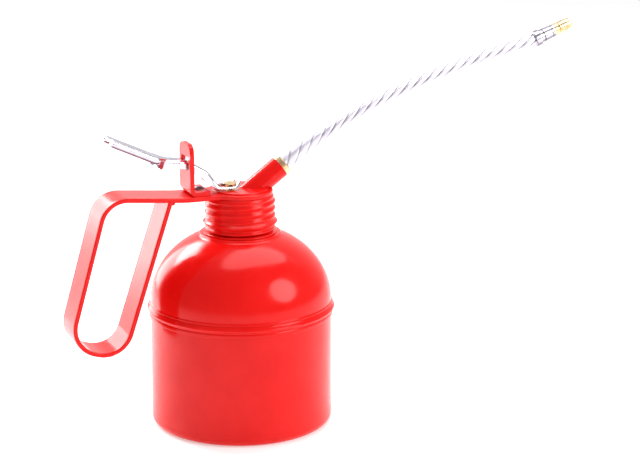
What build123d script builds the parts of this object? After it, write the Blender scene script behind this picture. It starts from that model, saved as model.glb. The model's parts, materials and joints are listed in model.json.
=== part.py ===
from build123d import *
import math
import os

# Pump oil can, in millimetres. The origin is the centre of the flat base, +Z is up,
# the spout leans towards +X and the handle loop hangs on the -X side.

# --- Can ---------------------------------------------------------------------
CAN_R = 45.0            # outer radius of the drawn bowl
SHEET = 1.0             # thickness of the can's sheet metal with its enamel
BASE_CORNER_R = 4.0     # rounded edge between base and wall
BASE_RING_R = 31.0      # mid radius of the stiffening groove pressed into the base
BASE_RING_HALF = 3.5
BASE_RING_DEPTH = 0.7
BOWL_TOP = 60.2
SKIRT_BOTTOM = 55.6     # the dome's skirt slips over the bowl down to here
SEAM_GAP = 0.05
DOME_SPRING = 63.0      # height where the dome starts to curve inwards
DOME_RISE = 37.0        # vertical semi-axis of the dome
DOME_TOP_R = 19.8       # radius of the raised collar at the foot of the neck
DOME_TOP = 97.0
HEM_R = 45.7            # turned hem at the skirt's lower edge
HEM_TOP = 57.2
BEAD_FOOT_R = 45.45
BEAD_R = 46.5           # the seam's main bead
BEAD_LOW = 57.9
BEAD_HIGH = 61.1
RIDGE_FOOT_R = 45.1
RIDGE_R = 45.5          # fine ridge above the bead
RIDGE_LOW = 61.5
RIDGE_Z = 62.2
CROWN_MARGIN = 0.5
CROWN_RADII = (42.5, 37.0, 29.0)
CROWN_INNER_RADII = (29.0, 37.0, 41.5)
COLLAR_EDGE = 0.6
CROWN_SLOPE = (-1, 0.4)  # direction of the dome line where it leaves the skirt
SEAM_GAP = 0.2

# --- Threaded neck and cap ----------------------------------------------------
THREAD_PITCH = 3.5
NECK_BORE_R = 13.6
NECK_ROOT_R = 14.9
NECK_CREST_R = 15.55
THREAD_FOOT_HALF = 0.9
THREAD_CREST_HALF = 0.3
THREAD_TOP_MARGIN = 1.5
OVERLAP = 0.5            # how far fused shapes reach into each other
NECK_TOP = 113.2
NECK_FLANGE_R = 18.2
NECK_FLANGE_T = 0.8
GASKET_T = 1.6
CAP_BORE_R = 15.9
CAP_ROOT_R = 16.6
CAP_CREST_R = 17.3
CAP_RIM_R = 18.4
CAP_RIDGE_SHARE = 0.8    # share of the thread pitch that each ridge takes
CAP_BOTTOM = 98.4
CAP_PLATE_T = 1.4
CAP_PLATE_Z = NECK_TOP + GASKET_T
CAP_TOP = CAP_PLATE_Z + CAP_PLATE_T

# --- Handle strip -------------------------------------------------------------
STRIP_T = 2.2
STRIP_W = 19.0
EYE_R = 16.2
STRIP_Z = CAP_TOP + STRIP_T / 2
STRIP_TOP = CAP_TOP + STRIP_T
STRIP_BEND_X = -30.0
STRIP_BEND_R = 60.0
STRIP_RISE = 5.4        # degrees that the grip's top run climbs away from the can
GRIP_TOP_X = -70.2      # where the top run meets the front leg
GRIP_TOP_R = 12.5
GRIP_LOW_FRONT = (-90.7, 49.2)
GRIP_LOW_BACK = (-63.9, 41.0)
GRIP_LOW_R = 13.4
LEG_TOP_X = -38.3       # where the back leg meets the middle of the top run
LEG_SPLIT = 0.6         # share of the back leg that belongs to the bent loop
STRIP_EDGE_R = 0.5
EYE_SHOULDER_R = 7.0
EYE_SHOULDER_X = -22.0  # where the eye's shoulders have narrowed to the strip
BRAZE_R = 1.3

# --- Lever bracket --------------------------------------------------------------
BRACKET_X = -27.1       # middle of the upright
BRACKET_W = 16.0
BRACKET_TOP = 144.0
BRACKET_CORNER_R = 4.5
BRACKET_BEND_R = 2.2
BRACKET_FOOT_X = -17.8
BRACKET_RIVET_X = -21.6
RIVET_R = 1.9
RIVET_HEAD_R = 3.0
RIVET_HEAD_H = 1.3
WINDOW_HALF = 5.1
WINDOW_TOP = 137.6
PIVOT_Z = 132.3         # the lever rocks on the window's rounded sill
SILL_R = STRIP_T / 2

# --- Lever ----------------------------------------------------------------------
LEVER_T = 1.3
PAD_HALF = 7.7
NECK_HALF = 4.5
FORK_HALF = 5.2
FLANGE_T = 1.2
FORK_TOP = 121.0
FORK_T = 1.5
FORK_TIP_X = -1.9
SLOT_HALF = 2.7
SLOT_ROOT_X = -9.1
PAD_END = (-65.8, 149.7)
PAD_ROOT = (-44.4, 139.6)
LEVER_SHOULDER = (-36.6, 136.9)
LEVER_CREST = (-28.0, 135.9)
LEVER_DROP = (-17.2, 129.2)
LEVER_HEEL = (-11.6, FORK_TOP)
LEVER_BEND_RADII = (14.0, 10.0, 9.0, 7.0, 2.4, 0.6)
FORK_LIP = 1.0
PAD_NOSE = (-67.8, 0)
PAD_CORNER = (-67.6, 3.465)
# Corners of one side of the plan, from the pad's end to the fork's tip.
LEVER_PLAN = (
    (-62.8, PAD_HALF),
    (-43.4, PAD_HALF),
    (-40.0, NECK_HALF),
    (-15.2, NECK_HALF),
    (-11.1, FORK_HALF),
    (0.1, FORK_HALF),
)
# Outline of the folded side flanges: along the web, then back under it.
LEVER_FLANGE = (
    (-41.2, 137.6),
    (-36.6, 136.5),
    (-28.0, 135.5),
    (-17.2, 128.8),
    (-12.2, 121.0),
    (-12.2, 119.5),
    (-14.2, 119.8),
    (-18.8, 124.3),
    (-26.0, 131.3),
    (-34.0, 132.5),
    (-38.2, 133.2),
    (-40.2, 133.4),
    (-41.8, 134.8),
)
CURL_START = (-64.4, 147.3)
CURL_STOP = 4.0
CURL_BORE_LENGTH = 12.5
SLOT_REACH = 6.0
CURL_R = 1.7
CURL_BORE_R = 0.9
NOTCH_CLEARANCE = 0.2
LEVER_SWING = 27.0      # degrees of lever travel that the notch leaves room for

# --- Pump -------------------------------------------------------------------------
PUMP_X = -5.0           # the pump stands a little off the can's axis
HEAD_FLANGE_R = 13.6
HEAD_FLANGE_T = 0.7
HEAD_EDGE_R = 0.5
HEAD_TOP = STRIP_TOP + HEAD_FLANGE_T
SPIGOT_R = 12.4
SPIGOT_BOTTOM = 107.6
SPIGOT_FIT = 0.05
RING_GROOVE_R = 11.7
RING_R = 13.2
RING_T = 1.2
RING_OPENING = 3.0
BARREL_R = 6.0
BARREL_BORE_R = 5.0
BARREL_BOTTOM = 64.0
BARREL_TOP = 111.4
CHAMBER_TOP = 114.2
ROD_R = 2.25
ROD_CLEARANCE = 0.08
END_GAP = 0.1
SLEEVE_GAP = 0.5
CUT = 1.0               # how far a cutting shape reaches past the face it cuts
FAR = 60.0              # beyond every edge of a part
PRESS_GAP = 0.02        # hair gap between parts that are pressed or screwed together
GLAND_R = 4.2
PACKING_Z = 115.0
GLAND_Z = 116.8
GLAND_TOP = HEAD_TOP + 0.05
GLAND_SLOT_W = 1.0
GLAND_SLOT_DEPTH = 0.7
BUTTON_R = 3.4
BUTTON_SPHERE_R = 5.0
BUTTON_GAP = 0.1
BUTTON_TOP = 122.6
BUTTON_CROWN_R = 9.0
BUTTON_SKIN = 0.9

PISTON_BOTTOM = 66.5
PISTON_TOP = 77.0
PISTON_R = 4.93
PISTON_NECK_R = 4.2
PISTON_NECK_Z = 71.2
SEAL_GROOVE_R = 4.1
SEAL_Z = 68.0
SEAL_H = 2.2
SEAL_R = 4.96
PISTON_SEAT_Z = 68.2
PISTON_SEAT_R = 1.3
PISTON_CHAMBER_R = 2.5
PISTON_PORT_Z = 72.4
PISTON_PORT_R = 0.7
PISTON_BALL_R = 1.9
ROD_BOTTOM = 73.4

SPRING_R = 3.7
SPRING_WIRE_R = 0.5
SPRING_TURNS = 11

FOOT_R = 7.0
FOOT_BOTTOM = 55.0
FOOT_TOP = 67.0
FOOT_SEAT_Z = 59.0
FOOT_SEAT_R = 1.4
FOOT_CHAMBER_R = 2.9
FOOT_BALL_R = 2.0
STOP_PIN_R = 0.6
STOP_PIN_INSET = 0.3
STOP_PIN_Z = 64.6
BALL_GAP = 0.05
TUBE_R = 2.6
TUBE_BORE_R = 1.9
TUBE_BOTTOM = 9.0
TUBE_TOP = 57.4
STRAINER_R = 5.2
STRAINER_BOTTOM = 4.0
STRAINER_TOP = 14.0
STRAINER_WALL = 0.6
STRAINER_SLOTS = 8
STRAINER_SLOT_W = 1.2

# --- Spout --------------------------------------------------------------------------
SOCKET_ELEVATION = 36.0
SOCKET_START = (-1.0, 111.8)
SOCKET_R = 5.5
SOCKET_LENGTH = 27.2
SOCKET_BORE_R = 4.0
SOCKET_BORE_S = 19.5
SOCKET_HIDDEN = 4.0     # length of the socket that lies inside the spigot
PASSAGE_START = -1.5
PASSAGE_R = 1.8
NUT_R = 5.1
NUT_LENGTH = 2.8
HOSE_R = 2.75
HOSE_BORE_R = 1.6
GUARD_ROOT_R = 4.0
GUARD_END_R = 3.15
GUARD_CLEARANCE = 0.1
LINK_LENGTH = 24.4
LINK_HEADINGS = (27.0, 21.5, 18.0, 15.0, 12.5)
ROOT_HEADINGS = (36.0, 32.5, 29.5, 28.0)
ROOT_LENGTH = 25.6
BALL_R = 2.7
CUP_R = 2.95
CUP_SETBACK = 2.0
TIP_HEADING = 20.0
COLLAR_R = 4.0
COLLAR_LENGTH = 3.2
NOZZLE_R = 3.4
NOZZLE_END_R = 3.1
NOZZLE_GROOVES = (1.6, 6.4)
NOZZLE_GROOVE_W = 0.6
NOZZLE_GROOVE_R = 2.85
TIP_CONE = 2.5
TIP_GROOVE_AT = 2.2
TIP_GROOVE_W = 1.0
TIP_GROOVE_R = 2.5
COLLAR_LAP = 0.2
COLLAR_SOCKET = 2.6
COLLAR_ROUND = 0.5
NOZZLE_LENGTH = 8.2
TIP_R = 3.0
TIP_LENGTH = 10.0
TIP_END_R = 2.5
TIP_BORE_R = 0.8


def save(shape, node):
    """Writes one sub-part to its own STEP file."""
    export_step(shape, f"parts/{node}.step")


def spin(points):
    """Revolves a closed outline of (radius, height) points about the can's axis."""
    with BuildPart() as turned:
        with BuildSketch(Plane.XZ):
            with BuildLine():
                Polyline(*points, close=True)
            make_face()
        revolve(axis=Axis.Z)
    return turned.part


def rod(radius, low, high, x=0.0):
    """A vertical cylinder at x."""
    return Pos(x, 0, low) * Cylinder(
        radius, high - low, align=(Align.CENTER, Align.CENTER, Align.MIN)
    )


def tube(outer, inner, low, high, x=0.0):
    """A vertical tube at x."""
    return rod(outer, low, high, x) - rod(inner, low - CUT, high + CUT, x)


def heading(degrees):
    """The unit direction in the XZ plane that climbs by this angle from +X."""
    angle = math.radians(degrees)
    return Vector(math.cos(angle), 0, math.sin(angle))


def plane_at(point, degrees):
    """A plane across a run of the spout, facing along its heading."""
    return Plane(origin=point, x_dir=(0, 1, 0), z_dir=heading(degrees))


def run(point, degrees, radius, length, end_radius=None):
    """A round bar, or a cone, that starts at point and follows the heading."""
    at = plane_at(point, degrees).location
    up = (Align.CENTER, Align.CENTER, Align.MIN)
    if end_radius is None:
        return at * Cylinder(radius, length, align=up)
    return at * Cone(radius, end_radius, length, align=up)


# --- Can ------------------------------------------------------------------------------

def can_bowl():
    """Drawn steel bowl with a rounded base edge and a pressed stiffening ring."""
    ring_in = BASE_RING_R - BASE_RING_HALF
    ring_out = BASE_RING_R + BASE_RING_HALF
    inner_r = CAN_R - SHEET
    corner = BASE_CORNER_R * (1 - math.sqrt(0.5))
    inner_corner_r = BASE_CORNER_R - SHEET
    inner_corner = inner_corner_r * (1 - math.sqrt(0.5))
    with BuildPart() as bowl:
        with BuildSketch(Plane.XZ):
            with BuildLine():
                Line((0, 0), (ring_in, 0))
                ThreePointArc((ring_in, 0), (BASE_RING_R, BASE_RING_DEPTH), (ring_out, 0))
                Line((ring_out, 0), (CAN_R - BASE_CORNER_R, 0))
                ThreePointArc(
                    (CAN_R - BASE_CORNER_R, 0),
                    (CAN_R - corner, corner),
                    (CAN_R, BASE_CORNER_R),
                )
                Polyline((CAN_R, BASE_CORNER_R), (CAN_R, BOWL_TOP), (inner_r, BOWL_TOP))
                Line((inner_r, BOWL_TOP), (inner_r, BASE_CORNER_R))
                ThreePointArc(
                    (inner_r, BASE_CORNER_R),
                    (inner_r - inner_corner, SHEET + inner_corner),
                    (inner_r - inner_corner_r, SHEET),
                )
                Line((inner_r - inner_corner_r, SHEET), (ring_out, SHEET))
                ThreePointArc(
                    (ring_out, SHEET),
                    (BASE_RING_R, SHEET + BASE_RING_DEPTH),
                    (ring_in, SHEET),
                )
                Line((ring_in, SHEET), (0, SHEET))
                Line((0, SHEET), (0, 0))
            make_face()
        revolve(axis=Axis.Z)
    return bowl.part


def dome_point(semi_r, rise, radius):
    """The point of the dome's elliptic outline at this radius."""
    return (radius, DOME_SPRING + rise * math.sqrt(1 - (radius / semi_r) ** 2))


def can_dome():
    """Pressed dome: skirt over the bowl, rolled seam beads, elliptic crown and collar."""
    inner_r = CAN_R - SHEET
    skirt_in = CAN_R + SEAM_GAP
    outer_end = dome_point(CAN_R, DOME_RISE, DOME_TOP_R + CROWN_MARGIN)
    inner_end = dome_point(inner_r, DOME_RISE - SHEET, DOME_TOP_R)
    outer_half = [dome_point(CAN_R, DOME_RISE, r) for r in CROWN_RADII]
    inner_half = [dome_point(inner_r, DOME_RISE - SHEET, r) for r in CROWN_INNER_RADII]
    hole = NECK_ROOT_R + SEAM_GAP
    with BuildPart() as dome:
        with BuildSketch(Plane.XZ):
            with BuildLine():
                Polyline(
                    (skirt_in, SKIRT_BOTTOM),
                    (HEM_R, SKIRT_BOTTOM),
                    (HEM_R, HEM_TOP),
                    (BEAD_FOOT_R, BEAD_LOW),
                )
                ThreePointArc(
                    (BEAD_FOOT_R, BEAD_LOW),
                    (BEAD_R, (BEAD_LOW + BEAD_HIGH) / 2),
                    (BEAD_FOOT_R, BEAD_HIGH),
                )
                Line((BEAD_FOOT_R, BEAD_HIGH), (RIDGE_FOOT_R, RIDGE_LOW))
                ThreePointArc(
                    (RIDGE_FOOT_R, RIDGE_LOW), (RIDGE_R, RIDGE_Z), (CAN_R, DOME_SPRING)
                )
                Spline(
                    (CAN_R, DOME_SPRING), *outer_half, outer_end,
                    tangents=[(0, 1), CROWN_SLOPE], tangent_scalars=[1, 1],
                )
                Polyline(
                    outer_end,
                    (DOME_TOP_R, DOME_TOP - COLLAR_EDGE / 2),
                    (DOME_TOP_R - COLLAR_EDGE, DOME_TOP),
                    (hole, DOME_TOP),
                    (hole, DOME_TOP - SHEET),
                    (DOME_TOP_R - COLLAR_EDGE, DOME_TOP - SHEET),
                    inner_end,
                )
                Spline(
                    inner_end, *inner_half, (inner_r, DOME_SPRING),
                    tangents=[(-CROWN_SLOPE[0], -CROWN_SLOPE[1]), (0, -1)], tangent_scalars=[1, 1],
                )
                Polyline(
                    (inner_r, DOME_SPRING),
                    (inner_r, BOWL_TOP + SEAM_GAP),
                    (skirt_in, BOWL_TOP + SEAM_GAP),
                    (skirt_in, SKIRT_BOTTOM),
                )
            make_face()
        revolve(axis=Axis.Z)
    return dome.part


def neck_ring():
    """Threaded filler neck: a flanged tube with rolled thread ridges."""
    ring = tube(NECK_ROOT_R, NECK_BORE_R, DOME_TOP - SHEET, NECK_TOP)
    ring += tube(NECK_FLANGE_R, NECK_ROOT_R - OVERLAP, DOME_TOP, DOME_TOP + NECK_FLANGE_T)
    first = CAP_BOTTOM + THREAD_PITCH / 2
    turns = int((NECK_TOP - THREAD_TOP_MARGIN - first) / THREAD_PITCH) + 1
    for turn in range(turns):
        z = first + turn * THREAD_PITCH
        ring += spin([
            (NECK_ROOT_R - OVERLAP, z - THREAD_FOOT_HALF),
            (NECK_ROOT_R, z - THREAD_FOOT_HALF),
            (NECK_CREST_R, z - THREAD_CREST_HALF),
            (NECK_CREST_R, z + THREAD_CREST_HALF),
            (NECK_ROOT_R, z + THREAD_FOOT_HALF),
            (NECK_ROOT_R - OVERLAP, z + THREAD_FOOT_HALF),
        ])
    return ring


def screw_cap():
    """Cap with rolled ridges on its skirt, the widest one near the bottom."""
    ridge_radii = (CAP_CREST_R, CAP_RIM_R, CAP_CREST_R, CAP_CREST_R, CAP_CREST_R)
    spigot_hole = SPIGOT_R + SPIGOT_FIT
    foot = (CAP_ROOT_R, CAP_BOTTOM)
    with BuildPart() as cap:
        with BuildSketch(Plane.XZ):
            with BuildLine():
                for number, radius in enumerate(ridge_radii):
                    low = CAP_BOTTOM + number * THREAD_PITCH
                    high = low + CAP_RIDGE_SHARE * THREAD_PITCH
                    if number > 0:
                        Line(foot, (CAP_ROOT_R, low))
                    foot = (CAP_ROOT_R, high)
                    ThreePointArc((CAP_ROOT_R, low), (radius, (low + high) / 2), foot)
                shoulder = CAP_TOP - foot[1]
                centre = (CAP_ROOT_R - shoulder, foot[1])
                CenterArc(centre, shoulder, 0, 90)
                Polyline(
                    (centre[0], CAP_TOP),
                    (spigot_hole, CAP_TOP),
                    (spigot_hole, CAP_PLATE_Z),
                    (CAP_BORE_R, CAP_PLATE_Z),
                    (CAP_BORE_R, CAP_BOTTOM),
                    (CAP_ROOT_R, CAP_BOTTOM),
                )
            make_face()
        revolve(axis=Axis.Z)
    return cap.part


# --- Handle ------------------------------------------------------------------------

def strip_z(x):
    """Mid height of the grip's top run at x."""
    return STRIP_Z + (STRIP_BEND_X - x) * math.tan(math.radians(STRIP_RISE))


def leg_top():
    """Where the back leg's middle meets the middle of the top run."""
    return Vector(LEG_TOP_X, 0, strip_z(LEG_TOP_X))


def leg_direction():
    """The unit direction up the back leg."""
    low = Vector(GRIP_LOW_BACK[0], 0, GRIP_LOW_BACK[1])
    return (leg_top() - low).normalized()


def strip_section(point, direction):
    """The strip's cross-section at a point, square to its run."""
    at = Plane(origin=point, x_dir=(0, 1, 0), z_dir=direction)
    return at * RectangleRounded(STRIP_W, STRIP_T, STRIP_EDGE_R)


def handle_strip():
    """One strip: round eye under the pump head, top run and grip loop, brazed shut."""
    with BuildPart() as eye:
        with BuildSketch(Plane.XY.offset(CAP_TOP)) as plan:
            Circle(EYE_R)
            with Locations((EYE_SHOULDER_X / 2, 0)):
                Rectangle(-EYE_SHOULDER_X, STRIP_W)
            shoulder = [v for v in plan.vertices() if -EYE_R < v.X < -STRIP_W / 4]
            fillet(shoulder, radius=EYE_SHOULDER_R)
            Circle(SPIGOT_R + SPIGOT_FIT, mode=Mode.SUBTRACT)
        extrude(amount=STRIP_T)
    low = Vector(GRIP_LOW_BACK[0], 0, GRIP_LOW_BACK[1])
    split = low + (leg_top() - low) * LEG_SPLIT
    corners = [
        (EYE_SHOULDER_X, STRIP_Z),
        (STRIP_BEND_X, STRIP_Z),
        (GRIP_TOP_X, strip_z(GRIP_TOP_X)),
        GRIP_LOW_FRONT,
        GRIP_LOW_BACK,
        (split.X, split.Z),
    ]
    with BuildLine(Plane.XZ) as path:
        FilletPolyline(*corners, radius=[STRIP_BEND_R, GRIP_TOP_R, GRIP_LOW_R, GRIP_LOW_R])
    start = Vector(EYE_SHOULDER_X, 0, STRIP_Z)
    loop = sweep(strip_section(start, (-1, 0, 0)), path.line)
    leg = extrude(strip_section(split, leg_direction()), (leg_top() - split).length)
    strip = eye.part + loop + leg
    return strip - Pos(BRACKET_RIVET_X, 0, STRIP_Z) * Cylinder(RIVET_R, 2 * STRIP_T)


def leg_braze():
    """Fillet of braze on the can side, where the back leg meets the top run."""
    up = leg_direction()
    face = leg_top() + Vector(up.Z, 0, -up.X) * (STRIP_T / 2)
    slope = math.tan(math.radians(STRIP_RISE))
    under = STRIP_T / 2 / math.cos(math.radians(STRIP_RISE))
    back = (strip_z(face.X) - under - face.Z) / (up.Z + up.X * slope)
    bead = Rot(90, 0, 0) * Cylinder(BRAZE_R, STRIP_W - 2 * STRIP_EDGE_R)
    return Pos(*(face + up * back)) * bead - handle_strip()


def rivet_head():
    """Low domed rivet head standing on z = 0."""
    sphere_r = (RIVET_HEAD_R ** 2 + RIVET_HEAD_H ** 2) / (2 * RIVET_HEAD_H)
    ball = Pos(0, 0, RIVET_HEAD_H - sphere_r) * Sphere(sphere_r)
    return ball & rod(RIVET_HEAD_R + CUT, 0, RIVET_HEAD_H + CUT)


def lever_bracket():
    """Upright with a window for the lever, bent from strip, its foot towards the can."""
    foot_z = STRIP_TOP + STRIP_T / 2
    with BuildPart() as angle:
        with BuildLine(Plane.XZ):
            FilletPolyline(
                (BRACKET_FOOT_X, foot_z),
                (BRACKET_X, foot_z),
                (BRACKET_X, BRACKET_TOP),
                radius=BRACKET_BEND_R,
            )
        with BuildSketch(
            Plane(origin=(BRACKET_FOOT_X, 0, foot_z), x_dir=(0, 1, 0), z_dir=(-1, 0, 0))
        ):
            Rectangle(BRACKET_W, STRIP_T)
        sweep()
        top_corners = [
            e for e in angle.edges().filter_by(Axis.X)
            if e.center().Z > BRACKET_TOP - 1
        ]
        fillet(top_corners, radius=BRACKET_CORNER_R)
    window_h = WINDOW_TOP - PIVOT_Z
    window = Pos(BRACKET_X, 0, PIVOT_Z + window_h / 2) * Box(4 * STRIP_T, 2 * WINDOW_HALF, window_h)
    sill = Pos(BRACKET_X, 0, PIVOT_Z) * Rot(90, 0, 0) * Cylinder(SILL_R, 2 * WINDOW_HALF)
    rivet_hole = rod(RIVET_R, STRIP_TOP - CUT, STRIP_TOP + 2 * STRIP_T, BRACKET_RIVET_X)
    return angle.part - window + sill - rivet_hole


def bracket_rivet():
    """Domed rivet that holds the bracket's foot on the strip."""
    low = STRIP_TOP - STRIP_T
    top = STRIP_TOP + STRIP_T
    shank = rod(RIVET_R, low, top, BRACKET_RIVET_X)
    upper = Pos(BRACKET_RIVET_X, 0, top) * rivet_head()
    return shank + upper


# --- Lever ---------------------------------------------------------------------------

def lever_profile():
    """Side view of the web's top edge, from the pad's end to the fork's tip."""
    with BuildLine() as top:
        FilletPolyline(
            PAD_END,
            PAD_ROOT,
            LEVER_SHOULDER,
            LEVER_CREST,
            LEVER_DROP,
            LEVER_HEEL,
            (FORK_TIP_X - FORK_LIP, FORK_TOP),
            (FORK_TIP_X, FORK_TOP + FORK_LIP),
            radius=LEVER_BEND_RADII,
        )
    return top.line


def lever_plan():
    """Plan view of the lever: wide thumb pad, narrow neck, forked end."""
    mirrored = [(x, -y) for x, y in reversed(LEVER_PLAN)]
    with BuildSketch() as plan:
        with BuildLine():
            ThreePointArc(mirrored[-1], (PAD_CORNER[0], -PAD_CORNER[1]), PAD_NOSE)
            ThreePointArc(PAD_NOSE, PAD_CORNER, LEVER_PLAN[0])
            Polyline(*LEVER_PLAN, *mirrored)
        make_face()
    return plan.sketch


def side_plate(points, half_low, half_high):
    """A pair of flanges with this side view, one on each side of the lever."""
    with BuildPart() as plate:
        with BuildSketch(Plane.XZ.offset(-half_high)):
            with BuildLine():
                Polyline(*points, close=True)
            make_face()
        extrude(amount=half_high - half_low)
    return plate.part + mirror(plate.part, about=Plane.XZ)


def lever():
    """Pressed lever: thumb pad with rolled edges, channel neck, fork round the rod."""
    top = lever_profile()
    with BuildPart() as web:
        with BuildSketch(Plane.XZ.offset(-PAD_HALF)):
            with BuildLine():
                add(top)
                offset(amount=LEVER_T, side=Side.RIGHT)
            make_face()
        extrude(amount=2 * PAD_HALF)
    plan = extrude(Pos(0, 0, FORK_TOP - FAR) * lever_plan(), 2 * FAR)
    body = web.part & plan
    body += side_plate(LEVER_FLANGE, NECK_HALF - FLANGE_T, NECK_HALF)
    slope = math.degrees(math.atan2(PAD_ROOT[1] - PAD_END[1], PAD_ROOT[0] - PAD_END[0]))
    curl_length = math.dist(PAD_END, PAD_ROOT) - CURL_STOP
    for side in (-1, 1):
        start = Vector(CURL_START[0], side * (PAD_HALF - CURL_R), CURL_START[1])
        body += run(start, slope, CURL_R, curl_length)
        body -= run(start - heading(slope) * CUT, slope, CURL_BORE_R, CURL_BORE_LENGTH)
    slot_length = FORK_TIP_X + CUT - SLOT_ROOT_X
    slot = Pos(SLOT_ROOT_X + slot_length / 2, 0, FORK_TOP) * Box(slot_length, 2 * SLOT_HALF, 2 * SLOT_REACH)
    slot += rod(SLOT_HALF, FORK_TOP - SLOT_REACH, FORK_TOP + SLOT_REACH, SLOT_ROOT_X)
    return body - slot - sill_notch()


def sill_notch():
    """The room that the lever leaves round the sill, over its whole swing."""
    reach = SILL_R + NOTCH_CLEARANCE
    depth = 8.0
    tilt = math.radians(LEVER_SWING + 2.0)
    with BuildPart() as notch:
        with BuildSketch(Plane.XZ.offset(-NECK_HALF - CUT)):
            with Locations((BRACKET_X, PIVOT_Z)):
                Circle(reach)
                with BuildLine():
                    Polyline(
                        (BRACKET_X + reach, PIVOT_Z),
                        (BRACKET_X + reach, PIVOT_Z - depth),
                        (BRACKET_X - reach / math.cos(tilt) - depth * math.tan(tilt), PIVOT_Z - depth),
                        (BRACKET_X - reach * math.cos(tilt), PIVOT_Z + reach * math.sin(tilt)),
                        close=True,
                    )
                make_face()
        extrude(amount=2 * NECK_HALF + 2)
    return notch.part


# --- Pump -----------------------------------------------------------------------------

def socket_point(distance):
    """A point on the spout socket's axis, measured from inside the pump head."""
    base = Vector(SOCKET_START[0], 0, SOCKET_START[1])
    return base + heading(SOCKET_ELEVATION) * distance


def pump_head():
    """Flanged pump head with the barrel's bore, the gland's recess and the spout socket."""
    flange = rod(HEAD_FLANGE_R, STRIP_TOP, HEAD_TOP)
    flange = fillet(flange.edges().group_by(Axis.Z)[-1], radius=HEAD_EDGE_R)
    spigot = rod(SPIGOT_R, SPIGOT_BOTTOM, STRIP_TOP)
    socket = run(socket_point(SOCKET_HIDDEN), SOCKET_ELEVATION, SOCKET_R, SOCKET_LENGTH - SOCKET_HIDDEN)
    socket &= rod(FAR, CAP_PLATE_Z, HEAD_TOP + FAR)
    over_eye = rod(FAR, STRIP_TOP, HEAD_TOP + FAR) + rod(SPIGOT_R, SPIGOT_BOTTOM, STRIP_TOP)
    head = flange + spigot + (socket & over_eye)
    head -= rod(BARREL_R + SPIGOT_FIT, SPIGOT_BOTTOM - CUT, BARREL_TOP + END_GAP, PUMP_X)
    head -= rod(BARREL_BORE_R, BARREL_TOP, CHAMBER_TOP, PUMP_X)
    head -= rod(ROD_R + ROD_CLEARANCE, CHAMBER_TOP - CUT, PACKING_Z + CUT, PUMP_X)
    head -= rod(GLAND_R, PACKING_Z, HEAD_TOP + CUT, PUMP_X)
    head -= run(socket_point(PASSAGE_START), SOCKET_ELEVATION, PASSAGE_R, SOCKET_LENGTH)
    head -= run(socket_point(SOCKET_BORE_S), SOCKET_ELEVATION, SOCKET_BORE_R, SOCKET_LENGTH)
    groove_top = CAP_PLATE_Z
    groove = tube(SPIGOT_R + CUT, RING_GROOVE_R, groove_top - RING_T, groove_top)
    return head - groove


def retaining_ring():
    """Spring ring under the cap's plate that keeps head, handle and cap together."""
    ring = tube(RING_R, RING_GROOVE_R + SPIGOT_FIT, CAP_PLATE_Z - RING_T, CAP_PLATE_Z - PRESS_GAP)
    gap = Pos(0, RING_R, CAP_PLATE_Z - RING_T / 2) * Box(RING_OPENING, RING_R, 2 * RING_T)
    return ring - gap


def gland_nut():
    """Flush brass nut that squeezes the packing round the rod, with two key slots."""
    nut = tube(GLAND_R - SPIGOT_FIT, ROD_R + ROD_CLEARANCE, GLAND_Z, GLAND_TOP, PUMP_X)
    slots = Pos(PUMP_X, 0, GLAND_TOP) * Box(GLAND_SLOT_W, 2 * GLAND_R, 2 * GLAND_SLOT_DEPTH)
    return nut - slots


def piston_body():
    """Hollow piston with a seal groove, a ball seat, cross ports and the rod's thread."""
    body = rod(PISTON_R, PISTON_BOTTOM, PISTON_NECK_Z, PUMP_X)
    body += rod(PISTON_NECK_R, PISTON_NECK_Z, PISTON_TOP, PUMP_X)
    body -= tube(PISTON_R + CUT, SEAL_GROOVE_R, SEAL_Z, SEAL_Z + SEAL_H, PUMP_X)
    body -= rod(PISTON_SEAT_R, PISTON_BOTTOM - CUT, PISTON_SEAT_Z + CUT, PUMP_X)
    body -= rod(PISTON_CHAMBER_R, PISTON_SEAT_Z, ROD_BOTTOM, PUMP_X)
    body -= rod(ROD_R + PRESS_GAP, ROD_BOTTOM - CUT, PISTON_TOP + CUT, PUMP_X)
    for turn in (0, 90):
        port = Rot(0, 0, turn) * Rot(90, 0, 0) * Cylinder(PISTON_PORT_R, 4 * PISTON_R)
        body -= Pos(PUMP_X, 0, PISTON_PORT_Z) * port
    return body


def seated_ball(radius, seat_r, seat_z):
    """A ball resting just above the edge of its seat."""
    rest = math.sqrt(radius ** 2 - seat_r ** 2)
    return Pos(PUMP_X, 0, seat_z + rest + BALL_GAP) * Sphere(radius)


def plunger_button():
    """Brass button on the rod's end, round below so that the fork can roll under it."""
    reach = math.sqrt(BUTTON_SPHERE_R ** 2 - SLOT_HALF ** 2)
    centre_z = FORK_TOP + reach + BUTTON_GAP
    underside = Pos(PUMP_X, 0, centre_z) * Sphere(BUTTON_SPHERE_R)
    body = rod(BUTTON_R, centre_z - BUTTON_SPHERE_R, BUTTON_TOP, PUMP_X)
    crown = Pos(PUMP_X, 0, BUTTON_TOP + BALL_GAP - BUTTON_CROWN_R) * Sphere(BUTTON_CROWN_R)
    blind_hole = rod(ROD_R + PRESS_GAP, FORK_TOP - 3, BUTTON_TOP - BUTTON_SKIN, PUMP_X)
    return (body & underside & crown) - blind_hole


def return_spring():
    """Coil spring round the rod that pushes the piston back down."""
    low = PISTON_TOP + SPRING_WIRE_R + END_GAP
    high = CHAMBER_TOP - SPRING_WIRE_R - END_GAP
    pitch = (high - low) / SPRING_TURNS
    with BuildPart() as coil:
        with BuildLine():
            wire = Helix(pitch=pitch, height=high - low, radius=SPRING_R, center=(PUMP_X, 0, low))
        with BuildSketch(Plane(origin=wire @ 0, z_dir=wire % 0)):
            Circle(SPRING_WIRE_R)
        sweep(is_frenet=True)
    return coil.part


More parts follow.
